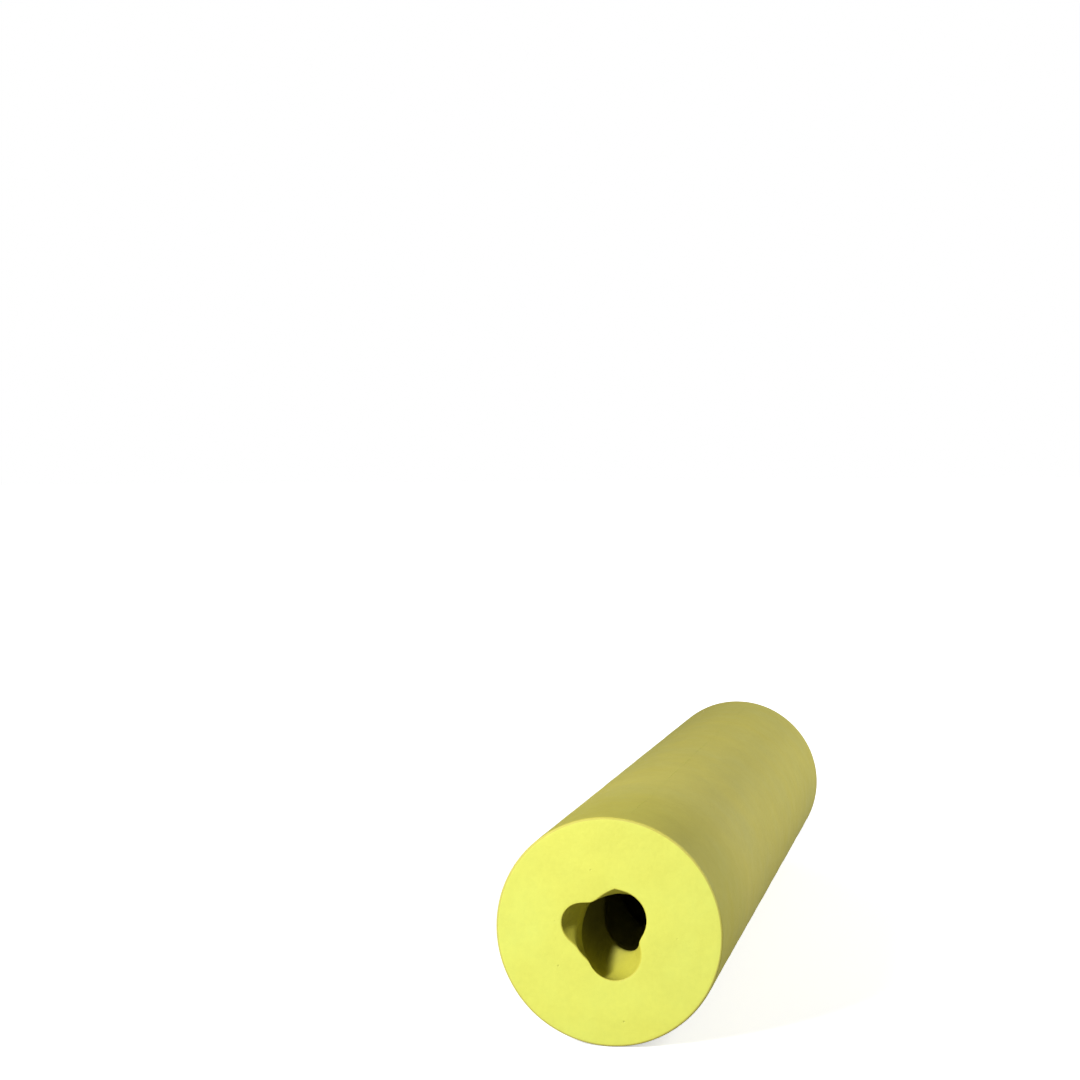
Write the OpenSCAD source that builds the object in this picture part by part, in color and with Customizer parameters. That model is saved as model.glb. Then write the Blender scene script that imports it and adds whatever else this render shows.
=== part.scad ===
// Flexible twist-taper candle mold: a soft cylinder with a three-lobed spiral cavity,
// slit along the top so that it opens like a book about the wall left uncut below.
// The mold lies on its side: +Y runs from the mouth to the closed tip end, +Z is up,
// and the origin is on the ground under the middle of its length.

/* [Casting] */
// Outside diameter of the casting
outer_d = 63.5; // [56:0.5:80]
// Overall length, from the mouth face to the tip end
mold_len = 273; // [240:1:320]
// Solid rubber between the tip of the cavity and the tip end
end_wall = 19; // [14:1:30]
// Corner rounding of the two end faces
rim_r = 0.6; // [0.3:0.1:2]

/* [Cavity] */
// Largest radius of the twisted cavity at the mouth
mouth_crest_r = 12.9; // [11:0.1:16]
// Largest radius of the cavity where its rounded tip begins
shoulder_crest_r = 9.2; // [8:0.1:11]
// Length of the rounded tip
tip_len = 25; // [18:1:35]
// Number of lobes in the twist
lobes = 3; // [2:1:4]
// Depth of the lobes, as a share of the mean radius
lobe_share = 0.16; // [0.08:0.01:0.18]
// Length of one full turn of the twist
twist_pitch = 84; // [60:1:140]
// Direction of the first lobe at the mouth, up from the right-hand side
mouth_lobe_angle = 45; // [0:1:119]

/* [Wick] */
// Diameter of the hole that the wick is threaded through
wick_d = 2.4; // [2:0.1:3]

/* [Slit and hinge] */
// Direction of the slit from the axis, up from the right-hand side
slit_angle = 81; // [70:1:110]
// Width of the uncut wall under the cavity, which the two halves bend on
web_w = 14; // [10:1:18]

/* [Detail] */
// Points round one ring of the cavity
ring_points = 36; // [24:12:48]
// Distance between the rings of the cavity
ring_step = 4; // [3:0.5:8]

/* [Hidden] */
$fn = 96;
overcut = 1;                           // how far a cut runs past the face it opens
outer_r = outer_d / 2;
wick_r = wick_d / 2;
half_len = mold_len / 2;
cavity_len = mold_len - end_wall;
tip_start = cavity_len - tip_len;
tip_power = 0.6;                       // bluntness of the rounded tip
tip_rings = 10;
wick_reach = 4;                        // how far the wick hole runs into the wider cavity
fade_len = 13;                         // the lobes die away over this last stretch
rim_steps = 4;                         // straight steps in one rounded rim
reach = mold_len;                      // farther than any point of the mold
polyurethane = [0.85, 0.86, 0.36];

// Largest radius of the cavity at a depth below the mouth face
function crest_r(depth) =
    depth < tip_start
        ? mouth_crest_r + (shoulder_crest_r - mouth_crest_r) * depth / tip_start
        : shoulder_crest_r * pow((cavity_len - depth) / tip_len, tip_power);

// Lobe depth there, which fades to nothing at the tip
function lobe_at(depth) = lobe_share * min(1, (cavity_len - depth) / fade_len);

// Direction of the first lobe there: clockwise on the way in, as a right-hand screw
function twist_at(depth) = mouth_lobe_angle - 360 * depth / twist_pitch;

// Radius of the cavity there, at an angle from the crest of the first lobe.
// It stays just inside the wick hole at the very tip.
function cavity_r(depth, angle) =
    max(0.9 * wick_r,
        crest_r(depth) * (1 + lobe_at(depth) * cos(lobes * angle)) / (1 + lobe_share));

// One ring of cavity points. The points turn with the twist, so mesh lines follow the lobes.
function ring(depth) = [
    for (i = [0 : ring_points - 1])
        let (angle = 360 * i / ring_points, r = cavity_r(depth, angle))
        [
            r * cos(angle + twist_at(depth)),
            r * sin(angle + twist_at(depth)),
            half_len - depth
        ]
];

// Depths of the rings: even steps down to the rounded tip, then closing steps to its end
body_rings = ceil((tip_start + overcut) / ring_step);
ring_depths = concat(
    [for (i = [0 : body_rings - 1]) -overcut + (tip_start + overcut) * i / body_rings],
    [for (i = [0 : tip_rings]) cavity_len - tip_len * pow(1 - i / tip_rings, 1.5)]
);

// The candle's own shape, with the mouth up: the space that the wax fills
module cavity() {
    last = len(ring_depths) - 1;
    points = [for (depth = ring_depths) each ring(depth)];
    sides = [
        for (k = [0 : last - 1])
            for (i = [0 : ring_points - 1])
                let (
                    a = k * ring_points + i,
                    b = k * ring_points + (i + 1) % ring_points,
                    c = a + ring_points,
                    d = b + ring_points
                )
                each [[a, b, d], [a, d, c]]
    ];
    mouth_cap = [for (i = [ring_points - 1 : -1 : 0]) i];
    tip_cap = [for (i = [0 : ring_points - 1]) last * ring_points + i];
    polyhedron(points = points, faces = concat([mouth_cap], sides, [tip_cap]), convexity = 10);
}

// Quarter-circle corner of the turned outline, at the mouth (side = 1) or the tip end (-1)
function rim_arc(side) = [
    for (i = [0 : rim_steps])
        let (angle = 90 * i / rim_steps)
        [
            outer_r - rim_r + rim_r * (side < 0 ? sin(angle) : cos(angle)),
            side * (half_len - rim_r + rim_r * (side < 0 ? cos(angle) : sin(angle)))
        ]
];

// The uncut casting, standing on its tip end: a turned cylinder with the wick hole in its end
module casting() {
    difference() {
        rotate_extrude()
            polygon(concat([[0, -half_len]], rim_arc(-1), rim_arc(1), [[0, half_len]]));
        translate([0, 0, -half_len - overcut])
            cylinder(r = wick_r, h = overcut + end_wall + wick_reach);
        cavity();
    }
}

// Space of the uncut wall, from the axis down through the skin
module web_space() {
    translate([-web_w / 2, -reach, -reach])
        cube([web_w, reach, 2 * reach]);
}

// Everything to the right (side = 1) or to the left (-1) of the slit and of the axis below it
module side_space(side) {
    translate([0, 0, -reach])
        linear_extrude(2 * reach)
            polygon([
                [0, 0],
                [reach * cos(slit_angle), reach * sin(slit_angle)],
                [side * 2 * reach, reach],
                [side * 2 * reach, -reach],
                [0, -reach]
            ]);
}

// Lays the standing casting on the ground, with its mouth towards -Y
module lay_down() {
    translate([0, 0, outer_r])
        rotate([90, 0, 0])
            children();
}

module half(side) {
    color(polyurethane)
        lay_down()
            difference() {
                intersection() {
                    casting();
                    side_space(side);
                }
                web_space();
            }
}

// The half to the left of the slit, as seen from the mouth
module left_half() {
    half(-1);
}

// The half to the right of the slit
module right_half() {
    half(1);
}

// The uncut wall that lies on the ground, joins the two halves and bends as they are spread
module hinge_web() {
    color(polyurethane)
        lay_down()
            intersection() {
                casting();
                web_space();
            }
}

left_half();
right_half();
hinge_web();
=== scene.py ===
"""Looks of the flexible candle mold: two halves of one soft casting, and the uncut wall between.

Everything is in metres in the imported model's frame. The mold lies along +Y, from its mouth to its
closed tip end, with its slit on top. A section is a plane across the mold, and directions in it are
angles from +X towards +Z, as seen from the mouth. Depths are measured from the mouth face.
"""

import math

import bmesh
import bpy
import numpy as np
from mathutils import Matrix, Vector


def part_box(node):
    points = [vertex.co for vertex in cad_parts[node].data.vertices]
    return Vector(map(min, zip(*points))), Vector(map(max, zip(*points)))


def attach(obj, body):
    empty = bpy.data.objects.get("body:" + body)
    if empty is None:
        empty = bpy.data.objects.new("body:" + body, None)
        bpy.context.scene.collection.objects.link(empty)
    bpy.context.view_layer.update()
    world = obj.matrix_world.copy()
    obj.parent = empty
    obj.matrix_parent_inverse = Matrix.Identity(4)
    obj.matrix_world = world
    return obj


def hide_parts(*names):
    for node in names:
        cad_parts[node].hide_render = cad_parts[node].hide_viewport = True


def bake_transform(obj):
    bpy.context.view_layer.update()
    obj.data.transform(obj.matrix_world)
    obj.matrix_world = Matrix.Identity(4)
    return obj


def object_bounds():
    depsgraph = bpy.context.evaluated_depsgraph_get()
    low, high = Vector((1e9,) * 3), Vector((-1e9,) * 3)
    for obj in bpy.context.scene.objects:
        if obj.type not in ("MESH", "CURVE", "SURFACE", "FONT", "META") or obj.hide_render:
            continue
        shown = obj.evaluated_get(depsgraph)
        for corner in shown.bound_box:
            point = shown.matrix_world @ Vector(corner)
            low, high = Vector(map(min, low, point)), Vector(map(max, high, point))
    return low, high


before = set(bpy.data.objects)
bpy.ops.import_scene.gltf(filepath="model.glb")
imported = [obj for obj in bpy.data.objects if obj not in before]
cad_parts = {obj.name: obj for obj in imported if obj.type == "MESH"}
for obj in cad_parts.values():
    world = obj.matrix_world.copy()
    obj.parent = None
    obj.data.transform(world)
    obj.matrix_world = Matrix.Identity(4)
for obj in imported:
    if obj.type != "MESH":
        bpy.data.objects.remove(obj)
low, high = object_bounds()

MM = 0.001
TAU = 2 * math.pi

# ---------------------------------------------------------------- sizes from the frame
web_low, web_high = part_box("hinge_web")
RADIUS = (high.x - low.x) / 2
AXIS_Z = (high.z + low.z) / 2
MOUTH_Y = low.y
TIP_Y = high.y
MIDDLE_Y = (MOUTH_Y + TIP_Y) / 2
WEB_HALF = (web_high.x - web_low.x) / 2

# ---------------------------------------------------------------- sizes of the design
END_WALL = 19 * MM
RIM_ROUND = 0.6 * MM
MOUTH_CREST = 12.9 * MM
SHOULDER_CREST = 9.2 * MM
TIP_LEN = 25 * MM
TIP_POWER = 0.6                             # bluntness of the cavity's rounded tip
FADE_LEN = 13 * MM                          # the strands merge over this last stretch
PITCH = 84 * MM
SLIT_ANGLE = math.radians(81)
WICK_R = 1.2 * MM
CAVITY_LEN = (TIP_Y - MOUTH_Y) - END_WALL
TIP_START = CAVITY_LEN - TIP_LEN

# Round strands that make up the candle at the mouth: direction, distance from the axis, radius.
# They were twisted by hand, so they differ a little, and the thinnest has melted into the core.
THICK_STRANDS = [
    (math.radians(52), 4.60 * MM, 7.75 * MM),
    (math.radians(-74), 6.10 * MM, 7.35 * MM),
]
THIN_STRAND = (math.radians(165), 7.85 * MM, 5.40 * MM)
CORE = (math.radians(-150), 0.50 * MM, 9.20 * MM)
STRAND_BLEND = 0.35 * MM                    # softness of the creases between the strands
CORE_BLEND = 1.2 * MM                       # and of the one between the thin strand and the core

# ---------------------------------------------------------------- small shapes
LIP_ROUND = 0.3 * MM                        # softened edge of the cavity's mouth
HOLE_ROUND = 0.2 * MM                       # and of the wick hole
NICK_DEPTH = 0.7 * MM                       # the slit's lips gape where they meet the mouth
NICK_SPREAD = math.radians(8)
NICK_REACH = 6 * MM
GROOVE_HALF = 0.05 * MM                     # hairline where the slit's lips meet the skin
GROOVE_DEPTH = 0.12 * MM

# Soft waves of a poured casting, whose skin and end faces are pressed in by up to these depths
RANDOM_SEED = 11
WAVES = 14
WAVE_LENGTHS = (14 * MM, 55 * MM)
WAVE_LIMIT = 4                              # their sum levels off about here
SKIN_PRESS = 0.10 * MM
END_PRESS = 0.16 * MM
SKIN_FROM = 0.90                            # share of the radius beyond which the skin is pressed
END_FROM = 0.97                             # share of the half length beyond which the ends are

# How far the knife strays from the slit's plane, and the ridges that its strokes leave
WANDER = 0.25 * MM
WANDER_LONG = 31 * MM
WANDER_SHORT = 13 * MM
WANDER_START = 20 * MM
RIPPLE = 0.035 * MM
RIPPLE_LENGTH = 2.7 * MM
RIPPLE_SLANT = 19 * MM

# ---------------------------------------------------------------- mesh density
COLUMNS = 288                               # points round the casting
CAVITY_RINGS = 330
CAVITY_TIP_RINGS = 44
CAVITY_TIP_CROWDING = 1.5                   # above 1, its rings crowd towards the tip
HOLE_RINGS = 12
TIP_FACE_RINGS = 24
SKIN_RINGS = 170
MOUTH_FACE_RINGS = 22
LIP_STEPS = 4                               # steps of a rounded corner
HOLE_STEPS = 3
RIM_STEPS = 6
CUT_FROM = 0.6 * MM                         # the slit's surface starts this far from the axis
CUT_COLUMNS = 36                            # points across it
CUT_STEP = 0.65 * MM
GROOVE_STEP = 0.6 * MM
REACH = 0.4                                 # a cutter is larger than the mold
OVERCUT = 1 * MM                            # its fine part runs at least this far past the mold
SLIVER = 0.004 * MM                         # points closer than this become one
SHARP_ANGLE = math.radians(35)

# ---------------------------------------------------------------- the rubber
# Zones of the casting: colour, colour of the blotches, roughness, height of the fine grain
RUBBER = {
    "skin": ((0.565, 0.505, 0.100), (0.52, 0.485, 0.125), 0.62, 0.012 * MM),
    "mouth": ((0.60, 0.605, 0.088), (0.575, 0.615, 0.105), 0.60, 0.03 * MM),
    "tip": ((0.57, 0.545, 0.10), (0.54, 0.53, 0.13), 0.60, 0.03 * MM),
    # The cavity's colours are darker than the mouth's: painted shade of its deep hollow.
    "cavity": ((0.52, 0.49, 0.055), (0.48, 0.46, 0.060), 0.50, 0.02 * MM),
    "cut": ((0.60, 0.60, 0.105), (0.57, 0.59, 0.13), 0.66, 0.05 * MM),
}
ZONES = list(RUBBER)
# Zones that change along the mold: tint near the mouth, tint farther in, from and to this depth
TINT_AND_SHADE_ALONG = {
    "skin": ((0.90, 0.91, 0.72), (1.04, 1.04, 1.06), 10 * MM, 70 * MM),
    # The cavity's entry is painted shade, darkening its hollow deeper in.
    "cavity": ((1.0, 1.0, 1.0), (0.50, 0.50, 1.15), 6 * MM, 30 * MM),
}
# Noise of every zone: size of its features, levels of detail, and how sharply it turns
BLOTCHES = (26 * MM, 3.0, 1.0)
STAINS = (9 * MM, 2.0, 1.6)
MOTTLING = (1.6 * MM, 2.0, 1.0)
SHEEN = (6 * MM, 3.0, 1.0)
GRAIN = (0.9 * MM, 3.0, 1.0)
DIMPLES = (7 * MM, 1.0, 1.0)
NOISE_HALF = 0.28                           # most of the raw noise is this near to its middle
STAIN_STRENGTH = 0.40
STAIN_TINT = 0.90
MOTTLING_STRENGTH = 0.22
MOTTLING_TINT = 1.10
MOTTLING_LIFT = 0.01
SHEEN_RANGE = 0.12                          # how much the roughness varies
DIMPLE_DEPTH = 0.024 * MM
PORE_SPACING = 5.5 * MM
PORE_SIZE = 0.35 * MM
PORE_DEPTH = 0.16 * MM
SPECULAR = 0.35

# ---------------------------------------------------------------- floor, light and camera
FLOOR_HALF = 20.0
FLOOR_GAP = 0.1 * MM
FLOOR_SEEN = 0.85                           # grey of the floor to the camera
FLOOR_FELT = 0.35                           # and to the light that it throws on the mold
FLOOR_GLOW = (0.55, 1.0)                    # extra brightness to the camera, near and far
GLOW_RANGE = (0.15, 0.75)                   # distances between which it grows
WORLD_LIGHT = 0.09
# Area lights: place, target, size, power, and whether they show as a highlight
LIGHTS = {
    "key": ((-0.38, -0.74, 0.38), (0, MOUTH_Y, AXIS_Z), 0.16, 9.4, True),
    "top": ((0.75, 0.24, 0.52), (0, 0.04, AXIS_Z), 0.60, 6.7, True),
    "back": ((-0.50, 1.05, 0.16), (0, TIP_Y, AXIS_Z), 0.40, 3.5, False),
}
CAMERA_PLACE = Vector((0.1066, MOUTH_Y - 0.5318, AXIS_Z + 0.1276))
CAMERA_AIM = Vector((-0.2283, 0.9729, -0.0367))
CAMERA_UP = Vector((0, 0.0377, 0.9993))
CAMERA_LENS = 66.5


# ---------------------------------------------------------------- the cavity
def crest_radius(depth):
    """Largest radius of the even cavity at a depth."""
    body = MOUTH_CREST + (SHOULDER_CREST - MOUTH_CREST) * depth / TIP_START
    left = np.maximum(CAVITY_LEN - depth, 0)
    return np.where(depth < TIP_START, body, SHOULDER_CREST * (left / TIP_LEN) ** TIP_POWER)


def twist(depth):
    """How far the strands have turned: clockwise on the way in, as a right-hand screw."""
    return -TAU * depth / PITCH


def angle_gap(angle, centre):
    """Signed angle from centre, within half a turn."""
    return (angle - centre + math.pi) % TAU - math.pi


def soft_max(outlines, softness):
    """The largest of the outlines in each direction, with the creases between them softened."""
    scaled = np.array(outlines) / softness
    top = scaled.max(axis=0)
    return softness * (top + np.log(np.exp(scaled - top).sum(axis=0)))


def strand_outline(strand, depth, angle):
    """How far a strand of the mouth's size reaches from the axis, in each direction."""
    direction, off, strand_r = strand
    spread = min(1, max(CAVITY_LEN - depth, 0) / FADE_LEN)
    turn = angle - direction - twist(depth)
    across = strand_r + off * (1 - spread)
    chord = across ** 2 - (off * spread * np.sin(turn)) ** 2
    return off * spread * np.cos(turn) + np.sqrt(np.maximum(chord, 0))


def cavity_radius(depth, angle):
    """Radius of the cavity at a depth, in each direction of the section."""
    thick = [strand_outline(strand, depth, angle) for strand in THICK_STRANDS]
    thin = [strand_outline(strand, depth, angle) for strand in (THIN_STRAND, CORE)]
    outline = soft_max([*thick, soft_max(thin, CORE_BLEND)], STRAND_BLEND)
    radius = outline * crest_radius(depth) / MOUTH_CREST
    aside = np.exp(-np.abs(angle_gap(angle, SLIT_ANGLE)) / NICK_SPREAD)
    nick = NICK_DEPTH * aside * math.exp(-depth / NICK_REACH)
    return np.maximum(WICK_R, radius + nick)


# ---------------------------------------------------------------- the casting, before it is slit
def quarter(steps):
    """(sine, cosine) of even turns through a quarter circle, without the start."""
    turns = np.linspace(0, math.pi / 2, steps + 1)[1:]
    return [(math.sin(turn), math.cos(turn)) for turn in turns]


class Rings:
    """Rings of points with the same columns, each with the zone of the band of faces after it."""

    def __init__(self):
        self.points = []
        self.zones = []
        self.column = np.arange(COLUMNS) * TAU / COLUMNS

    def add(self, radius, y, start_angle, zone):
        """One ring. Its radius is one number, or one for each column."""
        angle = self.column + start_angle
        ring = np.empty((COLUMNS, 3))
        ring[:, 0] = radius * np.cos(angle)
        ring[:, 1] = y
        ring[:, 2] = AXIS_Z + radius * np.sin(angle)
        self.points.append(ring)
        self.zones.append(ZONES.index(zone))


def add_cavity(rings):
    """From the lip of the mouth down to the wick hole. The columns follow the twist."""

    def ring(depth, grow=0.0):
        start = twist(depth)
        radius = cavity_radius(depth, rings.column + start) + grow
        rings.add(radius, MOUTH_Y + depth, start, "cavity")

    for sine, cosine in [(0.0, 1.0)] + quarter(LIP_STEPS):
        ring(LIP_ROUND * (1 - cosine), LIP_ROUND * (1 - sine))
    for depth in np.linspace(LIP_ROUND, TIP_START, CAVITY_RINGS)[1:]:
        ring(depth)
    for share in np.linspace(1, 0, CAVITY_TIP_RINGS)[1:]:
        ring(CAVITY_LEN - TIP_LEN * share ** CAVITY_TIP_CROWDING)


def add_tip_end(rings):
    """The wick hole, its softened edge and the flat tip end."""
    start = twist(CAVITY_LEN)
    for y in np.linspace(MOUTH_Y + CAVITY_LEN, TIP_Y - HOLE_ROUND, HOLE_RINGS)[1:]:
        rings.add(WICK_R, y, start, "cavity")
    for sine, cosine in quarter(HOLE_STEPS):
        radius = WICK_R + HOLE_ROUND * (1 - cosine)
        rings.add(radius, TIP_Y - HOLE_ROUND * (1 - sine), start, "tip")
    for radius in np.linspace(WICK_R + HOLE_ROUND, RADIUS - RIM_ROUND, TIP_FACE_RINGS)[1:]:
        rings.add(radius, TIP_Y, start, "tip")


def add_skin(rings):
    """The two rounded rims and the turned skin between them."""
    start = twist(CAVITY_LEN)
    for sine, cosine in quarter(RIM_STEPS):
        radius = RADIUS - RIM_ROUND * (1 - sine)
        rings.add(radius, TIP_Y - RIM_ROUND * (1 - cosine), start, "skin")
    for y in np.linspace(TIP_Y - RIM_ROUND, MOUTH_Y + RIM_ROUND, SKIN_RINGS)[1:]:
        rings.add(RADIUS, y, start, "skin")
    for sine, cosine in quarter(RIM_STEPS):
        radius = RADIUS - RIM_ROUND * (1 - cosine)
        rings.add(radius, MOUTH_Y + RIM_ROUND * (1 - sine), start, "skin")
    rings.zones[-1] = ZONES.index("mouth")


def add_mouth_face(rings):
    """The flat mouth face, in to the lip. Returns how far its columns are from the cavity's."""
    start = twist(CAVITY_LEN)
    step = TAU / COLUMNS
    shift = round(-start / step)
    slack = -start - shift * step
    outer = RADIUS - RIM_ROUND
    for share in np.linspace(0, 1, MOUTH_FACE_RINGS)[1:-1]:
        turned = start + slack * share
        inner = cavity_radius(0.0, rings.column + turned) + LIP_ROUND
        rings.add(outer * (1 - share) + inner * share, MOUTH_Y, turned, "mouth")
    return shift


def unevenness(points):
    """Soft waves, 0 to 1 at each point."""
    rng = np.random.default_rng(RANDOM_SEED)
    waves = np.zeros(len(points))
    for _ in range(WAVES):
        length = rng.uniform(*WAVE_LENGTHS)
        direction = rng.normal(size=3)
        direction /= np.linalg.norm(direction)
        waves += np.sin(points @ direction * TAU / length + rng.uniform(0, TAU))
    return 0.5 + 0.5 * np.tanh(waves / WAVE_LIMIT)


def share_past(start, value):
    """0 up to start, then growing to 1 where value is 1."""
    return np.clip((value - start) / (1 - start), 0, 1)


def soften(points):
    """Presses the skin and the two end faces in, unevenly."""
    press = unevenness(points)
    section = points[:, [0, 2]] - (0, AXIS_Z)
    on_skin = share_past(SKIN_FROM, np.linalg.norm(section, axis=1) / RADIUS)
    points[:, [0, 2]] -= section * (on_skin * press * SKIN_PRESS / RADIUS)[:, None]
    along = points[:, 1] - MIDDLE_Y
    near_end = share_past(END_FROM, np.abs(along) / (TIP_Y - MIDDLE_Y))
    points[:, 1] -= np.sign(along) * near_end * press * END_PRESS
    return points


def make_mesh(name, points, faces, zones):
    """A mesh with one material for each zone, in the order of ZONES."""
    mesh = bpy.data.meshes.new(name)
    mesh.from_pydata([tuple(p) for p in points], [], [tuple(int(v) for v in f) for f in faces])
    for zone in ZONES:
        mesh.materials.append(bpy.data.materials["polyurethane_" + zone])
    mesh.polygons.foreach_set("material_index", np.asarray(zones, np.int32))
    mesh.update()
    return mesh


def casting_mesh():
    """The whole casting as one closed mesh: cavity, wick hole, tip end, skin and mouth face."""
    rings = Rings()
    add_cavity(rings)
    add_tip_end(rings)
    add_skin(rings)
    shift = add_mouth_face(rings)
    count = len(rings.points)
    i = np.arange(COLUMNS)
    faces = []
    for k in range(count):
        last = k == count - 1
        here = k * COLUMNS
        there = 0 if last else here + COLUMNS
        turn = -shift if last else 0
        faces.append(np.stack([
            here + i,
            here + (i + 1) % COLUMNS,
            there + (i + 1 + turn) % COLUMNS,
            there + (i + turn) % COLUMNS,
        ], axis=1))
    points = soften(np.concatenate(rings.points))
    return make_mesh("casting", points, np.concatenate(faces), np.repeat(rings.zones, COLUMNS))


# ---------------------------------------------------------------- cutters
def swept_mesh(name, sections):
    """A closed solid through sections, each the same number of points round a closed outline."""
    count = len(sections[0])
    points = np.concatenate(sections)
    faces = [tuple(range(count - 1, -1, -1))]
    for k in range(len(sections) - 1):
        here = k * count
        there = here + count
        for i in range(count):
            j = (i + 1) % count
            faces.append((here + i, here + j, there + j, there + i))
    faces.append(tuple(range(len(points) - count, len(points))))
    return make_mesh(name, points, faces, np.full(len(faces), ZONES.index("cut")))


def wall_mesh(name, x_low, x_high):
    """A block below the axis that runs past both ends of the mold."""
    outline = [(x_low, -REACH), (x_high, -REACH), (x_high, AXIS_Z), (x_low, AXIS_Z)]
    return swept_mesh(name, [np.array([(x, y, z) for x, z in outline]) for y in (REACH, -REACH)])


def slit_wander(y):
    """How far the knife strays from the slit's plane. It starts true at the mouth."""
    depth = max(y - MOUTH_Y, 0)
    waves = math.sin(depth / WANDER_LONG) * math.sin(depth / WANDER_SHORT + 1)
    return WANDER * waves * min(1, depth / WANDER_START)


def slit_ripple(y, radius):
    """Shallow ridges that the knife's strokes leave on the cut faces."""
    return RIPPLE * math.sin(TAU * (y / RIPPLE_LENGTH + radius / RIPPLE_SLANT))


def slit_point(y, radius, aside=0.0):
    """A point on the slit's surface, or aside of it towards the left half."""
    off = aside + slit_wander(y) + slit_ripple(y, radius)
    cosine, sine = math.cos(SLIT_ANGLE), math.sin(SLIT_ANGLE)
    return (radius * cosine - off * sine, y, AXIS_Z + radius * sine + off * cosine)


def right_side_mesh():
    """Everything to the right of the slit, and of the axis below it."""
    radii = np.linspace(CUT_FROM, RADIUS + OVERCUT, CUT_COLUMNS)
    ys = [REACH, *np.arange(TIP_Y + 2 * OVERCUT, MOUTH_Y - 2 * OVERCUT, -CUT_STEP), -REACH]
    sections = []
    for y in ys:
        outline = [(0, y, AXIS_Z)]
        outline += [slit_point(y, radius) for radius in radii]
        outline += [slit_point(y, REACH), (2 * REACH, y, AXIS_Z + REACH)]
        outline += [(2 * REACH, y, AXIS_Z - REACH), (0, y, AXIS_Z - REACH)]
        sections.append(np.array(outline[::-1]))
    return swept_mesh("right_side", sections)


def hairline_mesh():
    """A fine groove along the slit in the skin, so that its closed lips still show."""
    sections = []
    for y in np.arange(TIP_Y + OVERCUT, MOUTH_Y - OVERCUT, -GROOVE_STEP):
        sections.append(np.array([
            slit_point(y, RADIUS - GROOVE_DEPTH),
            slit_point(y, RADIUS + GROOVE_DEPTH, -2 * GROOVE_HALF),
            slit_point(y, RADIUS + GROOVE_DEPTH, 2 * GROOVE_HALF),
        ]))
    return swept_mesh("hairline", sections)


# ---------------------------------------------------------------- cutting the casting into pieces
def add_object(name, data):
    """A new object in the scene."""
    made = bpy.data.objects.new(name, data)
    bpy.context.scene.collection.objects.link(made)
    return made


def close_slivers(mesh):
    """Merges the points that a cut leaves within a few micrometres of each other."""
    edit = bmesh.new()
    edit.from_mesh(mesh)
    bmesh.ops.remove_doubles(edit, verts=edit.verts, dist=SLIVER)
    bmesh.ops.dissolve_degenerate(edit, dist=SLIVER, edges=edit.edges)
    edit.to_mesh(mesh)
    edit.free()


def cut_piece(name, casting, cuts):
    """A copy of the casting after each (operation, cutter mesh) in turn."""
    piece = add_object(name, casting.copy())
    cutters = []
    for operation, mesh in cuts:
        cutter = add_object(name + "_cutter", mesh)
        modifier = piece.modifiers.new("cut", "BOOLEAN")
        modifier.operation = operation
        modifier.object = cutter
        modifier.solver = "MANIFOLD"
        cutters.append(cutter)
    graph = bpy.context.evaluated_depsgraph_get()
    mesh = bpy.data.meshes.new_from_object(piece.evaluated_get(graph))
    piece.modifiers.clear()
    piece.data = mesh
    mesh.name = name
    for cutter in cutters:
        bpy.data.objects.remove(cutter)
    close_slivers(mesh)
    mesh.polygons.foreach_set("use_smooth", np.ones(len(mesh.polygons), bool))
    mesh.set_sharp_from_angle(angle=SHARP_ANGLE)
    return piece


def make_pieces():
    """The two halves, and the wall between them as two pieces, one on each side of the axis."""
    casting = casting_mesh()
    right_side = right_side_mesh()
    hairline = hairline_mesh()
    wall = wall_mesh("wall", -WEB_HALF, WEB_HALF)
    wall_left = wall_mesh("wall_left", -WEB_HALF, 0)
    wall_right = wall_mesh("wall_right", 0, WEB_HALF)

    left = cut_piece("left_half_rubber", casting, [
        ("DIFFERENCE", right_side), ("DIFFERENCE", wall), ("DIFFERENCE", hairline)])
    right = cut_piece("right_half_rubber", casting, [
        ("INTERSECT", right_side), ("DIFFERENCE", wall), ("DIFFERENCE", hairline)])
    web_left = cut_piece("hinge_web_left", casting, [("INTERSECT", wall_left)])
    web_right = cut_piece("hinge_web_right", casting, [("INTERSECT", wall_right)])

    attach(left, "left_half")
    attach(right, "right_half")
    for web, half, side in ((web_left, "left_half", -1), (web_right, "right_half", 1)):
        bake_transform(web)
    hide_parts("left_half")
    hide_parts("right_half")
    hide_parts("hinge_web")
    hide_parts("hinge_web")


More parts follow.
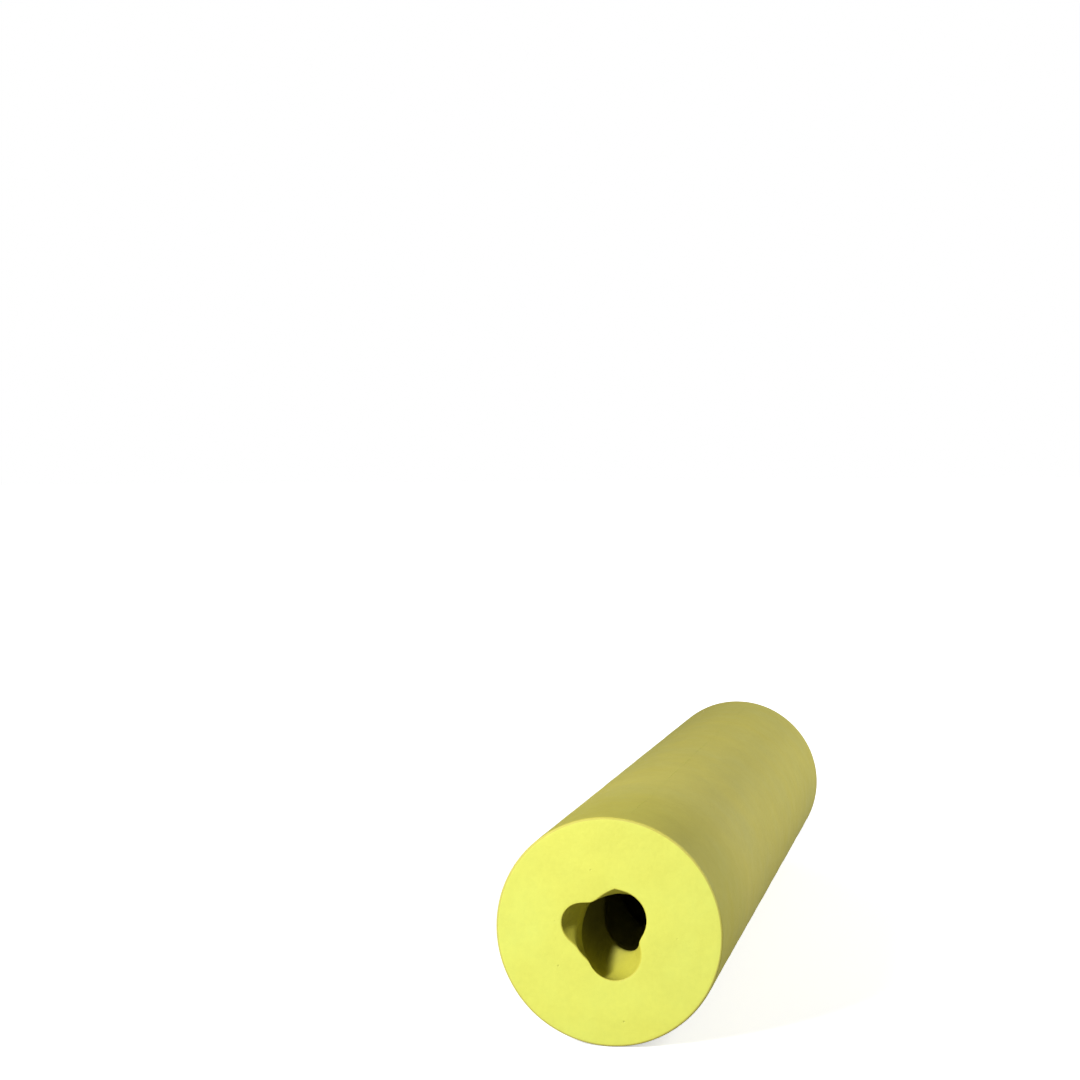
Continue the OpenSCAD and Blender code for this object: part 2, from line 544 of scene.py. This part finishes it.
# ---------------------------------------------------------------- materials
class Shader:
    """Short names for the nodes of one material."""

    def __init__(self, name):
        self.material = bpy.data.materials.new(name)
        self.material.use_nodes = True
        self.tree = self.material.node_tree
        self.bsdf = self.tree.nodes["Principled BSDF"]

    def add(self, kind, **values):
        """A new node with input sockets set to values or linked from other sockets."""
        made = self.tree.nodes.new("ShaderNode" + kind)
        for name, value in values.items():
            self.set(made, name.replace("_", " "), value)
        return made

    def set(self, made, name, value):
        """Sets or links one input socket. A tuple is a colour."""
        socket = made.inputs[name]
        if isinstance(value, bpy.types.NodeSocket):
            self.tree.links.new(value, socket)
        else:
            socket.default_value = (*value, 1) if isinstance(value, tuple) else value

    def place(self):
        """The point in the frame."""
        return self.add("TexCoord").outputs["Object"]

    def noise(self, size, detail, contrast):
        """Noise from 0 to 1 with features of about size."""
        made = self.add("TexNoise", Vector=self.place(), Scale=1 / size, Detail=detail)
        half = NOISE_HALF / contrast
        return self.ramp(made.outputs["Fac"], 0.5 - half, 0.5 + half)

    def ramp(self, value, start, end, low_value=0.0, high_value=1.0):
        """Value between start and end taken smoothly from low_value to high_value."""
        made = self.add("MapRange", Value=value, From_Min=start, From_Max=end,
                        To_Min=low_value, To_Max=high_value)
        made.interpolation_type = "SMOOTHSTEP"
        return made.outputs["Result"]

    def math(self, operation, first, second):
        made = self.add("Math")
        made.operation = operation
        self.set(made, 0, first)
        self.set(made, 1, second)
        return made.outputs["Value"]

    def blend(self, share, first, second, mode="MIX"):
        """First colour, taken towards second by share."""
        made = self.add("Mix")
        made.data_type = "RGBA"
        made.blend_type = mode
        # A Mix node has the same sockets once for each kind of data. These are its colour ones.
        self.set(made, 0, share)
        self.set(made, 6, first)
        self.set(made, 7, second)
        return made.outputs[2]

    def dents(self, spacing, size):
        """Height of round dents of about size, 0 at the surface and -1 at their deepest."""
        made = self.add("TexVoronoi", Vector=self.place(), Scale=1 / spacing, Randomness=1.0)
        return self.ramp(made.outputs["Distance"], 0.0, size / spacing, -1.0, 0.0)

    def bump(self, height, depth, under=None):
        made = self.add("Bump", Height=height, Distance=depth, Strength=1.0)
        if under is not None:
            self.set(made, "Normal", under)
        return made.outputs["Normal"]


def make_rubber(zone):
    """Cast polyurethane rubber: waxy, slightly mottled, with fine pores."""
    base, blotch, roughness, grain_depth = RUBBER[zone]
    darker = tuple(part * STAIN_TINT for part in base)
    paler = tuple(part * MOTTLING_TINT + MOTTLING_LIFT for part in base)
    shader = Shader("polyurethane_" + zone)

    colour = shader.blend(shader.noise(*BLOTCHES), base, blotch)
    stains = shader.math("MULTIPLY", shader.noise(*STAINS), STAIN_STRENGTH)
    colour = shader.blend(stains, colour, darker)
    mottling = shader.math("MULTIPLY", shader.noise(*MOTTLING), MOTTLING_STRENGTH)
    colour = shader.blend(mottling, colour, paler)
    # The skin's tint along the mold, and the cavity's painted shade that darkens it deeper in.
    if zone in TINT_AND_SHADE_ALONG:
        near, far, start, end = TINT_AND_SHADE_ALONG[zone]
        y = shader.add("SeparateXYZ", Vector=shader.place()).outputs["Y"]
        tint_and_depth_shade = shader.blend(shader.ramp(y, MOUTH_Y + start, MOUTH_Y + end), near, far)
        colour = shader.blend(1.0, colour, tint_and_depth_shade, "MULTIPLY")
    shader.set(shader.bsdf, "Base Color", colour)

    sheen = shader.math("MULTIPLY", shader.noise(*SHEEN), SHEEN_RANGE)
    shader.set(shader.bsdf, "Roughness", shader.math("ADD", roughness - SHEEN_RANGE / 2, sheen))
    shader.set(shader.bsdf, "Specular IOR Level", SPECULAR)

    normal = shader.bump(shader.noise(*GRAIN), grain_depth)
    normal = shader.bump(shader.noise(*DIMPLES), DIMPLE_DEPTH, normal)
    normal = shader.bump(shader.dents(PORE_SPACING, PORE_SIZE), PORE_DEPTH, normal)
    shader.set(shader.bsdf, "Normal", normal)


# ---------------------------------------------------------------- floor, light and camera
def make_floor():
    """A white floor, a little brighter to the camera than to the object."""
    mesh = bpy.data.meshes.new("floor")
    corners = [(x * FLOOR_HALF, y * FLOOR_HALF, 0) for x, y in ((-1, -1), (1, -1), (1, 1), (-1, 1))]
    mesh.from_pydata(corners, [], [(0, 1, 2, 3)])
    floor = add_object("floor", mesh)
    floor.location.z = low.z - FLOOR_GAP
    shader = Shader("floor_white")
    seen = shader.add("LightPath").outputs["Is Camera Ray"]
    colour = shader.blend(seen, (FLOOR_FELT,) * 3, (FLOOR_SEEN,) * 3)
    shader.set(shader.bsdf, "Base Color", colour)
    shader.set(shader.bsdf, "Roughness", 0.9)
    shader.set(shader.bsdf, "Emission Color", (1, 1, 1))
    away = shader.add("VectorMath", Vector=shader.place())
    away.operation = "LENGTH"
    glow = shader.ramp(away.outputs["Value"], *GLOW_RANGE, *FLOOR_GLOW)
    shader.set(shader.bsdf, "Emission Strength", shader.math("MULTIPLY", seen, glow))
    mesh.materials.append(shader.material)


def make_world():
    """White to the camera, and a dim even light to everything else."""
    world = bpy.data.worlds.new("studio")
    bpy.context.scene.world = world
    world.use_nodes = True
    nodes, links = world.node_tree.nodes, world.node_tree.links
    background = nodes["Background"]
    background.inputs["Color"].default_value = (1, 1, 1, 1)
    rays = nodes.new("ShaderNodeLightPath")
    strength = nodes.new("ShaderNodeMapRange")
    strength.inputs["To Min"].default_value = WORLD_LIGHT
    strength.inputs["To Max"].default_value = 1.0
    links.new(rays.outputs["Is Camera Ray"], strength.inputs["Value"])
    links.new(strength.outputs["Result"], background.inputs["Strength"])


def make_light(name, place, target, size, power, highlight):
    """A square light that points at its target."""
    data = bpy.data.lights.new(name, "AREA")
    data.size = size
    data.energy = power
    light = add_object(name, data)
    light.location = place
    light.rotation_mode = "QUATERNION"
    light.rotation_quaternion = (Vector(target) - Vector(place)).to_track_quat("-Z", "Y")
    light.visible_glossy = highlight


def make_camera():
    """Looks down at the mouth from the front right, with the mold running away from it."""
    data = bpy.data.cameras.new("camera")
    data.lens = CAMERA_LENS
    data.sensor_width = 36
    data.clip_start = 0.01
    data.clip_end = 100
    camera = add_object("camera", data)
    forward = CAMERA_AIM.normalized()
    right = forward.cross(CAMERA_UP).normalized()
    turned = Matrix((right, right.cross(forward), -forward)).transposed()
    camera.matrix_world = Matrix.Translation(CAMERA_PLACE) @ turned.to_4x4()
    bpy.context.scene.camera = camera


for zone in ZONES:
    make_rubber(zone)
make_pieces()
make_floor()
make_world()
for name, settings in LIGHTS.items():
    make_light(name, *settings)
make_camera()
bpy.context.scene.view_settings.view_transform = "Standard"
